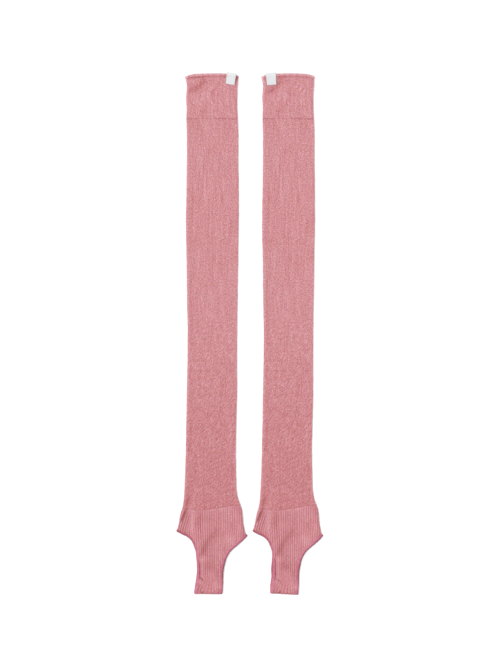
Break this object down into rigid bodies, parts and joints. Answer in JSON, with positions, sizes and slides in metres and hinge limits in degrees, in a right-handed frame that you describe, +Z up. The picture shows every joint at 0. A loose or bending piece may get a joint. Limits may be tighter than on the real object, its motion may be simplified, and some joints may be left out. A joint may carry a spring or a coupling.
{
  "type": "pair of leg warmers",
  "caption": "Long knitted stirrup leg warmers laid flat side by side, with a rolled top band, a ribbed ankle and a strap for under the foot.",
  "frame": {"origin": "on the surface that the pair lies on, at the middle of the pair's extent in X and in Y", "axes": "+X to the right as the pair lies with its labels up, +Y along the legs from the straps to the top bands, +Z up off the surface"},
  "size_m": [0.2362, 0.8362, 0.0079],
  "materials": {
    "welt_knit": "dusty pink fine knit, doubled, matt with a little fuzz",
    "leg_knit": "dusty pink plain knit with a slightly uneven, heathered face",
    "ankle_rib": "dusty pink rib knit, fine vertical ribs",
    "edge_yarn": "deeper rose overlocked edge yarn",
    "label_tape": "plain white woven tape, left bare"
  },
  "bodies": {
    "root": {"left_welt": "welt_knit", "left_leg": "leg_knit", "left_ankle": "ankle_rib", "left_heel_binding": "edge_yarn", "left_toe_binding": "edge_yarn", "left_label": "label_tape", "right_welt": "welt_knit", "right_leg": "leg_knit", "right_ankle": "ankle_rib", "right_heel_binding": "edge_yarn", "right_toe_binding": "edge_yarn", "right_label": "label_tape"}
  },
  "joints": []
}
